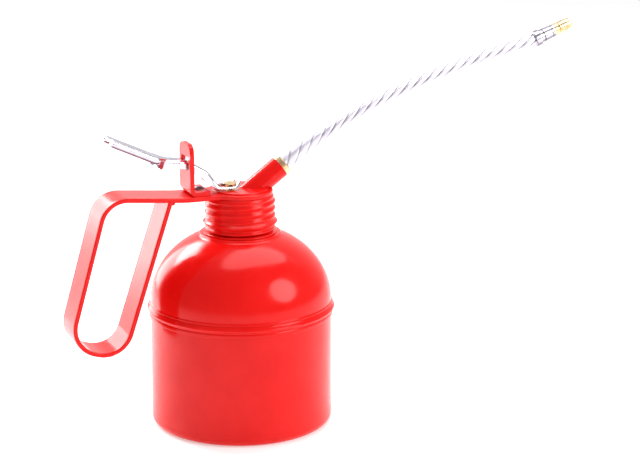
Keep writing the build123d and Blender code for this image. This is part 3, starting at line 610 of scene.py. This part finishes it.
def skirt_radius(z):
    """Outer radius of the dome's skirt: hem, main bead and a fine ridge above it."""
    radius = CAN_R + SKIRT_HEM - (SKIRT_HEM - SKIRT_STEP) * smooth_step(*SKIRT_HEM_TOP, z)
    radius -= SKIRT_STEP * smooth_step(*SKIRT_STEP_TOP, z)
    radius += (BEAD_R - CAN_R - SKIRT_STEP) * bump(z, BEAD_Z, BEAD_HALF)
    return radius + RIDGE_HEIGHT * bump(z, RIDGE_Z, RIDGE_HALF)


def can_dome():
    """Pressed dome with its rolled seam, elliptic crown and the collar round the neck."""
    skirt_in = CAN_R + SNUG
    hem = rounded(
        [(skirt_in, SKIRT_BOTTOM + 0.5), (skirt_in, SKIRT_BOTTOM),
         (skirt_radius(SKIRT_BOTTOM), SKIRT_BOTTOM),
         (skirt_radius(SKIRT_BOTTOM), SKIRT_WALL_START - 0.1)],
        [0, *HEM_RADII, 0], closed=False,
    )
    wall = [(skirt_radius(z), z) for z in spread(SKIRT_WALL_START, DOME_SPRING, 44)]
    crown_end = math.acos((COLLAR_R + COLLAR_MARGIN) / CAN_R)
    crown = [
        (CAN_R * math.cos(t), DOME_SPRING + DOME_RISE * math.sin(t))
        for t in spread(0.01, crown_end, 40)
    ]
    hole = NECK_ROOT_R + SNUG
    collar = rounded(
        [crown[-1], (COLLAR_R, DOME_TOP), (hole, DOME_TOP), (hole, DOME_TOP - SHEET),
         (COLLAR_R - COLLAR_INSET, DOME_TOP - SHEET)],
        [0, COLLAR_EDGE_R, COLLAR_HOLE_EDGE_R, COLLAR_HOLE_EDGE_R, 0], closed=False,
    )
    inner_r = CAN_R - SHEET
    inner_end = math.acos(COLLAR_R / inner_r)
    lining = [
        (inner_r * math.cos(t), DOME_SPRING + (DOME_RISE - SHEET) * math.sin(t))
        for t in spread(inner_end, 0, 24)
    ]
    step = [(inner_r, BOWL_TOP + SEAM_GAP), (skirt_in, BOWL_TOP + SEAM_GAP)]
    outline = [tuple(p) for p in (*hem, *wall, *crown, *collar[1:], *lining, *step)]
    dome = piece("dome", turned(lambda a: outline, CAN_FACETS), "red_enamel", sharp=CREASE)
    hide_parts("can_dome")
    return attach(dome, "can")


def helix(angle, z, start):
    """From 0 to 1: how near this point of a screw surface is to its right-handed crest."""
    phase = (z - start) / THREAD_PITCH - angle / (2 * math.pi)
    return 0.5 + 0.5 * math.cos(2 * math.pi * phase)


def neck():
    """Threaded filler neck with its flange on the dome's collar."""
    flange_top = DOME_TOP + NECK_FLANGE_T

    def outline(angle):
        thread = []
        for z in spread(flange_top + 0.1, NECK_TOP - 0.5, 90):
            fade = smooth_step(*NECK_THREAD_START, z) * (1 - smooth_step(*NECK_THREAD_END, z))
            crest = smooth_step(0.45, 0.8, helix(angle, z, NECK_TOP)) * fade
            thread.append((NECK_ROOT_R + NECK_CREST * crest, z))
        return [
            (NECK_BORE_R, NECK_BOTTOM), (NECK_ROOT_R, NECK_BOTTOM), (NECK_ROOT_R, DOME_TOP),
            (NECK_FLANGE_R - 0.2, DOME_TOP), (NECK_FLANGE_R, DOME_TOP + 0.2),
            (NECK_FLANGE_R, flange_top - 0.25), (NECK_FLANGE_R - 0.25, flange_top),
            (NECK_ROOT_R + 0.15, flange_top), *thread,
            (NECK_ROOT_R - 0.15, NECK_TOP - 0.15), (NECK_ROOT_R - 0.45, NECK_TOP),
            (NECK_BORE_R + 0.3, NECK_TOP), (NECK_BORE_R, NECK_TOP - 0.3),
        ]

    ring = piece("neck", turned(outline, NECK_FACETS), "red_enamel", sharp=CREASE)
    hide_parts("neck_ring")
    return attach(ring, "can")


def cap_radius(angle, z):
    """Outer radius of the cap's pressed skirt: screw ridges, the wide rim and the hem."""
    fade = smooth_step(*CAP_THREAD_START, z) * (1 - smooth_step(*CAP_THREAD_END, z))
    radius = CAP_ROOT_R + CAP_CREST * fade * helix(angle, z, CAP_THREAD_Z) ** 0.8
    radius += (CAP_RIM_R - CAP_ROOT_R) * bump(z, CAP_RIM_Z, CAP_RIM_HALF)
    return radius + CAP_HEM_HEIGHT * bump(z, CAP_HEM_Z, CAP_HEM_HALF)


def cap():
    """Screw cap pressed from sheet: the inside follows the ridges."""
    centre_r, centre_z = CAP_ROOT_R - CAP_SHOULDER, CAP_TOP - CAP_SHOULDER
    shoulder = [
        (centre_r + CAP_SHOULDER * math.cos(a), centre_z + CAP_SHOULDER * math.sin(a))
        for a in spread(0, math.pi / 2, 8)
    ]

    def outline(angle):
        heights = spread(CAP_BOTTOM + 0.15, CAP_TOP - CAP_SHOULDER, 96)
        skirt = [(cap_radius(angle, z), z) for z in heights]
        lining = [
            (max(CAP_BORE_R, r - CAP_WALL), z)
            for r, z in reversed(skirt) if z < CAP_PLATE_Z - 0.4
        ]
        return [
            (CAP_ROOT_R - 0.3, CAP_BOTTOM), *skirt, *shoulder[1:], (SPIGOT_HOLE_R + 0.2, CAP_TOP),
            (SPIGOT_HOLE_R, CAP_TOP - 0.2), (SPIGOT_HOLE_R, CAP_PLATE_Z),
            (CAP_BORE_R - 0.3, CAP_PLATE_Z), *lining, (CAP_BORE_R, CAP_BOTTOM),
        ]

    thing = piece("cap", turned(outline, CAP_FACETS), "red_enamel", sharp=CREASE)
    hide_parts("screw_cap")
    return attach(thing, "pump_assembly")


# --- Grip -------------------------------------------------------------------------------

def across(path, halves, columns):
    """Rows across a strip that follows the XZ path, from its middle to its edge."""
    return [
        [(p.x, half * j / columns, p.y) for j in range(columns + 1)]
        for p, half in zip(path, halves)
    ]


def eye_edge():
    """Outline of the eye's half: round tip, the shoulder's fillet, then the strip's edge."""
    reach = EYE_R + EYE_FILLET_R
    centre_y = STRIP_HALF + EYE_FILLET_R
    centre_x = -math.sqrt(reach ** 2 - centre_y ** 2)
    tangent = math.atan2(centre_y, centre_x)
    points = [(EYE_R * math.cos(a), EYE_R * math.sin(a)) for a in spread(0, tangent, 40)]
    for a in spread(tangent + math.pi, 1.5 * math.pi, 8)[1:]:
        points.append(
            (centre_x + EYE_FILLET_R * math.cos(a), centre_y + EYE_FILLET_R * math.sin(a))
        )
    return points + [(STRIP_START_X, STRIP_HALF)]


def grip():
    """The one strip that makes the eye under the pump head, the top run and the loop."""
    columns = 6
    rim = eye_edge()
    rim += [(STRIP_START_X, STRIP_HALF * (1 - k / columns)) for k in range(1, columns + 1)]
    rows = []
    for k, (x, y) in enumerate(rim):
        a = math.pi * k / (len(rim) - 1)
        inner = Vector((SPIGOT_HOLE_R * math.cos(a), SPIGOT_HOLE_R * math.sin(a)))
        row = [inner.lerp(Vector((x, y)), w) for w in (0, 0.5, 1)]
        rows.append([(p.x, p.y, STRIP_Z) for p in row])
    eye = folded(rows)
    path = divided(rounded(GRIP_CORNERS, GRIP_RADII, closed=False, step=5), 12.0)
    run = folded(across(path, [STRIP_HALF] * len(path), columns))
    offset = len(eye[0])
    shape = (eye[0] + run[0], eye[1] + [tuple(i + offset for i in f) for f in run[1]])
    thing = plate("grip", shape, "red_enamel", STRIP_T, STRIP_EDGE_R)
    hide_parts("handle_strip")
    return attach(thing, "pump_assembly")


def bracket():
    """Upright with rounded corners and the lever's window, bent up from a flat foot."""
    foot_z = BRACKET_LOW + STRIP_T / 2
    corners = [(BRACKET_FOOT_X, foot_z), (BRACKET_X, foot_z), (BRACKET_X, BRACKET_TOP)]
    path = rounded(corners, [0, BRACKET_BEND_R, 0], closed=False, step=9)[:-1]
    path += [Vector((BRACKET_X, z)) for z in (PIVOT.z, WINDOW_TOP)]
    corner_low = BRACKET_TOP - BRACKET_CORNER_R
    climb = [BRACKET_CORNER_R * math.sin(a) for a in spread(0, math.pi / 2, 10)]
    path += [Vector((BRACKET_X, corner_low + c)) for c in climb]
    lanes = (0, WINDOW_HALF / 2, WINDOW_HALF, (WINDOW_HALF + BRACKET_HALF) / 2, BRACKET_HALF)
    rows = []
    for p in path:
        rise = max(0.0, p.y - corner_low)
        cut = BRACKET_CORNER_R - math.sqrt(max(0.0, BRACKET_CORNER_R ** 2 - rise ** 2))
        share = 1 - cut / BRACKET_HALF
        rows.append([(p.x, lane * share, p.y) for lane in lanes])

    def in_window(first, second):
        return PIVOT.z <= first[2] < WINDOW_TOP and second[1] <= WINDOW_HALF + 0.01

    thing = plate("bracket", folded(rows, in_window), "red_enamel", STRIP_T, BRACKET_EDGE_R)
    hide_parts("lever_bracket")
    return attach(thing, "pump_assembly")


def sill():
    """Rounded sill of the window, on which the lever rocks."""
    radius = STRIP_T / 2
    rings = []
    for y in (-WINDOW_HALF, WINDOW_HALF):
        rings.append([
            (BRACKET_X + radius * math.cos(a), y, PIVOT.z + radius * math.sin(a))
            for a in spread(0, 2 * math.pi, 32)[:-1]
        ])
    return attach(piece("bracket_sill", skin(rings, False), "red_enamel"), "pump_assembly")


# --- Lever ------------------------------------------------------------------------------

def lever_section(x):
    """Half section at x: flat half width, edge radius, edge turn in radians, flange length."""
    past_pad = smooth_step(PAD_ROOT_X - 0.4, PAD_ROOT_X + 0.4, x)
    narrowing = smooth_step(PAD_ROOT_X - 1.0, PAD_ROOT_X + 4.6, x)
    to_fork = smooth_step(HEEL_X - 4.0, HEEL_X + 1.0, x)
    half = PAD_HALF - LEVER_T / 2 + (NECK_HALF - PAD_HALF) * narrowing
    half += (FORK_HALF - NECK_HALF) * to_fork
    radius = CURL_R + (NECK_EDGE_R - CURL_R) * past_pad - FORK_EDGE_DROP * to_fork
    turn = CURL_TURN + (math.pi / 2 - CURL_TURN) * past_pad
    lug = LUG * bump(x, PAD_ROOT_X + 2.0, LUG_HALF)
    flange = (FLANGE + lug) * past_pad * (1 - smooth_step(HEEL_X - 5.0, HEEL_X, x))
    return half - radius, radius, turn, flange


def lever_row(point, down, columns):
    """Points across half the lever, from its middle or the slot's edge to its outer edge."""
    flat, radius, turn, flange = lever_section(point.x)
    start = 0.0
    if point.x > SLOT_ROOT_X:
        start = SLOT_HALF
    elif point.x > SLOT_ROOT_X - SLOT_HALF and point.y < LEVER_CORNERS[5][1] + 1.5:
        start = math.sqrt(SLOT_HALF ** 2 - (SLOT_ROOT_X - point.x) ** 2)
    whole = flat + radius * turn + flange
    dish = PAD_DISH * (1 - smooth_step(PAD_ROOT_X - 8.0, PAD_ROOT_X, point.x))
    row = []
    for d in spread(start, whole, columns):
        if d < flat:
            y, drop = d, dish * (1 - (d / flat) ** 2)
        elif d < flat + radius * turn:
            a = (d - flat) / radius
            y, drop = flat + radius * math.sin(a), radius * (1 - math.cos(a))
        else:
            a, rest = turn, d - flat - radius * turn
            y = flat + radius * math.sin(a) + rest * math.cos(a)
            drop = radius * (1 - math.cos(a)) + rest * math.sin(a)
        row.append((point.x + down.x * drop, y, point.y + down.y * drop))
    return row


def lever():
    """Plated thumb lever: dished pad with curled edges, channel neck and a forked foot."""
    top = divided(rounded(LEVER_CORNERS, LEVER_RADII, closed=False, step=6), 0.7)
    rows = []
    for i, point in enumerate(top):
        along = (top[min(i + 1, len(top) - 1)] - top[max(i - 1, 0)]).normalized()
        down = Vector((along.y, -along.x))
        rows.append(lever_row(point + down * LEVER_T / 2, down, 26))
    thing = plate("thumb_lever", folded(rows), "chrome_plate", LEVER_T, LEVER_EDGE_R)
    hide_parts("lever")
    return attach(thing, "lever")


# --- Pump -------------------------------------------------------------------------------

def return_spring():
    """The coil round the plunger rod, which closes up towards the chamber's top."""
    low, high = low_mm("return_spring"), high_mm("return_spring")
    centre = (low + high) / 2
    coil_r = (high.x - low.x) / 2 - SPRING_WIRE_R
    steps = SPRING_TURNS * 28
    rings = []
    for k in range(steps + 1):
        a = 2 * math.pi * SPRING_TURNS * k / steps
        z = low.z + SPRING_WIRE_R + (high.z - low.z - 2 * SPRING_WIRE_R) * k / steps
        outward = Vector((math.cos(a), math.sin(a), 0))
        middle = Vector((centre.x, centre.y, z)) + outward * coil_r
        rings.append([
            middle + (outward * math.cos(b) + Vector((0, 0, math.sin(b)))) * SPRING_WIRE_R
            for b in spread(0, 2 * math.pi, 10)[:-1]
        ])
    coil = piece("return_coil", skin(rings, False), "steel")
    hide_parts("return_spring")
    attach(coil, "pump_assembly")
    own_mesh(coil)


# --- Spout ------------------------------------------------------------------------------

def heading(degrees):
    """The direction in the XZ plane that climbs by this angle from +X."""
    a = math.radians(degrees)
    return Vector((math.cos(a), 0, math.sin(a)))


def spout_line():
    """The hose's centreline as close, even points, and the length at each spout joint."""
    inside = SOCKET_START + heading(SOCKET_ELEVATION) * SOCKET_INSIDE
    mouth = SOCKET_START + heading(SOCKET_ELEVATION) * SOCKET_END
    end = SPOUT_JOINTS[-1] + heading(LAST_LINK_HEADING) * LINK_LENGTH
    knots = [inside, mouth, *SPOUT_JOINTS, end]
    tangents = [heading(SOCKET_ELEVATION), heading(SOCKET_ELEVATION)]
    for before, after in zip(knots[1:], knots[3:]):
        tangents.append((after - before).normalized())
    tangents.append(heading(HOSE_END_HEADING))
    fine = []
    for i in range(len(knots) - 1):
        a, b = knots[i], knots[i + 1]
        reach = (b - a).length
        for t in spread(0, 1, 80)[:-1]:
            near = a * (2 * t ** 3 - 3 * t ** 2 + 1)
            near += tangents[i] * reach * (t ** 3 - 2 * t ** 2 + t)
            far = b * (3 * t ** 2 - 2 * t ** 3) + tangents[i + 1] * reach * (t ** 3 - t ** 2)
            fine.append(near + far)
    return fine + [knots[-1]]


def lengths_along(line):
    """The length of the line up to each of its points."""
    total, made = 0.0, [0.0]
    for a, b in zip(line, line[1:]):
        total += (b - a).length
        made.append(total)
    return made


def at_length(line, lengths, s):
    """The point on the line at length s."""
    low, high = 0, len(lengths) - 1
    while high - low > 1:
        middle = (low + high) // 2
        if lengths[middle] <= s:
            low = middle
        else:
            high = middle
    share = (s - lengths[low]) / (lengths[high] - lengths[low])
    return line[low].lerp(line[high], share)


def strand_depth(angle, s):
    """From 0 on a strand's back to 1 at the bottom of the groove between two strands."""
    phase = STRANDS * (angle / 2 - math.pi * s / TWIST_LEAD)
    return (1 - abs(math.cos(phase))) ** GROOVE_SHARPNESS


def wound(name, line, lengths, start, end, radius_at, bore, depth):
    """A closed twisted tube along the line, from length start to end, with its grooves marked."""
    around = WINDING_SIDES
    stations = spread(start, end, max(2, round((end - start) / WINDING_STEP)))
    rings, marks = [], []
    for s in stations:
        here = at_length(line, lengths, s)
        ahead = at_length(line, lengths, min(s + 0.05, lengths[-1]))
        behind = at_length(line, lengths, max(s - 0.05, 0))
        along = (ahead - behind).normalized()
        upward = Vector((-along.z, 0, along.x))
        outer, inner = [], []
        for a in spread(0, 2 * math.pi, around)[:-1]:
            groove = strand_depth(a, s)
            rib = RIB_HEIGHT * math.cos(RIBS * (a - 2 * math.pi * s / TWIST_LEAD))
            r = radius_at(s) * (1 - depth * groove) + rib * (1 - groove)
            ray = Vector((0, 1, 0)) * math.cos(a) + upward * math.sin(a)
            outer.append(here + ray * r)
            inner.append(here + ray * bore)
            marks.append(groove)
        rings.append((outer, inner))
    points = [p for outer, inner in rings for p in outer]
    base = len(points)
    points += [p for outer, inner in rings for p in inner]
    faces = []
    for i in range(len(rings) - 1):
        for j in range(around):
            k = (j + 1) % around
            a, b = i * around, (i + 1) * around
            faces.append((a + j, a + k, b + k, b + j))
            faces.append((base + b + j, base + b + k, base + a + k, base + a + j))
    for a in (0, (len(rings) - 1) * around):
        for j in range(around):
            k = (j + 1) % around
            faces.append((a + j, base + a + j, base + a + k, a + k))
    thing = piece(name, (points, faces), "hose_metal", sharp=60)
    # Groove depth at each point, which hose_metal paints as shade.
    depth_mark = thing.data.attributes.new("groove", "FLOAT", "POINT")
    depth_mark.data.foreach_set("value", marks + [0.0] * len(marks))
    return thing


def spout():
    """The flexible spout: a tapered sleeve, wound lengths that each run over one joint, and an end length that is
    fixed to the last spout link.
    """
    line = spout_line()
    lengths = lengths_along(line)

    def length_near(point):
        return min(zip(line, lengths), key=lambda pair: (pair[0] - point).length)[1]

    mouth_s = length_near(SOCKET_START + heading(SOCKET_ELEVATION) * SOCKET_END)
    joints_s = [length_near(p) for p in SPOUT_JOINTS]
    cuts = [1.0] + [s + LINK_LENGTH / 2 for s in joints_s[:-1]]
    cuts += [joints_s[-1] + LINK_LENGTH / 2, lengths[-1]]
    bodies = ["pump_assembly"] + [f"spout_{n}" for n in range(1, 6)]
    nodes = ["hose_root"] + [f"hose_link_{n}" for n in range(1, 6)]
    for index, node in enumerate(nodes):
        hose = wound(
            f"spout_hose_{index + 1}", line, lengths, cuts[index], cuts[index + 1],
            lambda s: HOSE_R, HOSE_BORE_R, HOSE_GROOVE,
        )
        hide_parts(node)
        if index == len(nodes) - 1:
            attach(hose, bodies[-1])
            continue
        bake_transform(hose)
    sleeve_end = joints_s[0] - JOINT_SETBACK

    def sleeve_radius(s):
        share = (s - mouth_s) / (sleeve_end - mouth_s)
        return SLEEVE_ROOT_R + (SLEEVE_END_R - SLEEVE_ROOT_R) * share

    sleeve = wound(
        "spout_sleeve", line, lengths, mouth_s, sleeve_end, sleeve_radius,
        HOSE_R + SNUG, SLEEVE_GROOVE,
    )
    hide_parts("hose_guard")
    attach(sleeve, "pump_assembly")


# --- Stage, light and camera ------------------------------------------------------------

AIM_M = Vector((0.0401, -0.0057, 0.0964))
CAMERA_DISTANCE_M = 1.1
CAMERA_YAW = -22.0
CAMERA_PITCH = 15.0
CAMERA_LENS = 124.45
LIGHTS_AIM_M = Vector((0, 0, 0.07))
FLOOR_HALF = 8000.0
FLOOR_T = 0.2
ROOM_BRIGHT_WAY = (176, 12)
ROOM_BRIGHTNESS = (0.38, 1.15)


def direction(azimuth, elevation):
    """From the object out to this azimuth, where 0 is towards -Y and 90 towards +X."""
    a, e = math.radians(azimuth), math.radians(elevation)
    return Vector((math.sin(a) * math.cos(e), -math.cos(a) * math.cos(e), math.sin(e)))


def camera():
    """The photographed view: from the front, a little to the grip side and above."""
    data = bpy.data.cameras.new("camera")
    data.lens = CAMERA_LENS
    data.sensor_width = 36.0
    data.clip_start, data.clip_end = 0.05, 50.0
    thing = bpy.data.objects.new("camera", data)
    away = direction(CAMERA_YAW, CAMERA_PITCH)
    thing.location = AIM_M + away * CAMERA_DISTANCE_M
    thing.rotation_euler = (-away).to_track_quat("-Z", "Y").to_euler()
    bpy.context.scene.collection.objects.link(thing)
    bpy.context.scene.camera = thing


def softbox(name, azimuth, elevation, distance, width, height, watts, shape="ELLIPSE"):
    """A soft area light that faces the can; sizes in metres."""
    data = bpy.data.lights.new(name, "AREA")
    data.shape = shape
    data.size, data.size_y = width, height
    data.energy = watts
    thing = bpy.data.objects.new(name, data)
    away = direction(azimuth, elevation)
    thing.location = LIGHTS_AIM_M + away * distance
    thing.rotation_euler = (-away).to_track_quat("-Z", "Y").to_euler()
    bpy.context.scene.collection.objects.link(thing)


def lamp_over_floor(name, place_m, width, watts):
    """A soft area light that looks straight down and lifts one patch of the floor."""
    data = bpy.data.lights.new(name, "AREA")
    data.shape = "DISK"
    data.size = width
    data.energy = watts
    thing = bpy.data.objects.new(name, data)
    thing.location = place_m
    bpy.context.scene.collection.objects.link(thing)


def floor():
    """A plain pale floor that reaches well past every view."""
    corners = ((-1, -1), (1, -1), (1, 1), (-1, 1))
    rings = [[(x * FLOOR_HALF, y * FLOOR_HALF, z) for x, y in corners] for z in (-FLOOR_T, 0)]
    points, faces = skin(rings, False)
    mesh = bpy.data.meshes.new("floor")
    mesh.from_pydata([Vector(p) * MM for p in points], [], faces)
    thing = bpy.data.objects.new("floor", mesh)
    bpy.context.scene.collection.objects.link(thing)
    material = new_material(
        "floor", Roughness=0.9, Specular_IOR_Level=0.1,
        Emission_Color=(1, 1, 1, 1), Emission_Strength=0.42,
    )
    drive(material, "Base Color", blended(
        material, noise(material, 60.0), (0.70, 0.70, 0.70, 1), (0.73, 0.73, 0.73, 1)
    ))
    mesh.materials.append(material)


def surroundings():
    """A white room that is brighter behind the can than in front of it."""
    world = bpy.data.worlds.new("studio")
    bpy.context.scene.world = world
    world.use_nodes = True
    tree = world.node_tree
    tree.nodes.clear()
    out = tree.nodes.new("ShaderNodeOutputWorld")
    seen = tree.nodes.new("ShaderNodeBackground")
    seen.inputs["Color"].default_value = (0.97, 0.97, 0.97, 1)
    light = tree.nodes.new("ShaderNodeBackground")
    place = tree.nodes.new("ShaderNodeTexCoord")
    dot = tree.nodes.new("ShaderNodeVectorMath")
    dot.operation = "DOT_PRODUCT"
    dot.inputs[1].default_value = direction(*ROOM_BRIGHT_WAY)
    tree.links.new(place.outputs["Generated"], dot.inputs[0])
    strength = tree.nodes.new("ShaderNodeMapRange")
    strength.inputs["From Min"].default_value = 0.2
    strength.inputs["From Max"].default_value = 0.9
    strength.inputs["To Min"].default_value = ROOM_BRIGHTNESS[0]
    strength.inputs["To Max"].default_value = ROOM_BRIGHTNESS[1]
    tree.links.new(dot.outputs["Value"], strength.inputs["Value"])
    tree.links.new(strength.outputs["Result"], light.inputs["Strength"])
    path = tree.nodes.new("ShaderNodeLightPath")
    mix = tree.nodes.new("ShaderNodeMixShader")
    tree.links.new(path.outputs["Is Camera Ray"], mix.inputs[0])
    tree.links.new(light.outputs[0], mix.inputs[1])
    tree.links.new(seen.outputs[0], mix.inputs[2])
    tree.links.new(mix.outputs[0], out.inputs[0])


def studio():
    """Floor, white room, soft lights and the camera."""
    bpy.context.scene.view_settings.view_transform = "Standard"
    floor()
    surroundings()
    softbox("front_right", 42, 28, 1.3, 0.80, 0.80, 10.5)
    softbox("overhead", 102, 78, 1.3, 0.70, 1.60, 10.5)
    softbox("back_left", -161, 19, 1.3, 0.52, 1.20, 8.5, "RECTANGLE")
    lamp_over_floor("back_floor", (-0.20, 0.30, 0.30), 0.30, 2.4)
    camera()


# --- Build ------------------------------------------------------------------------------

studio()
paint_cad_nodes()
can_bowl()
can_dome()
neck()
cap()
grip()
bracket()
sill()
lever()
return_spring()
spout()
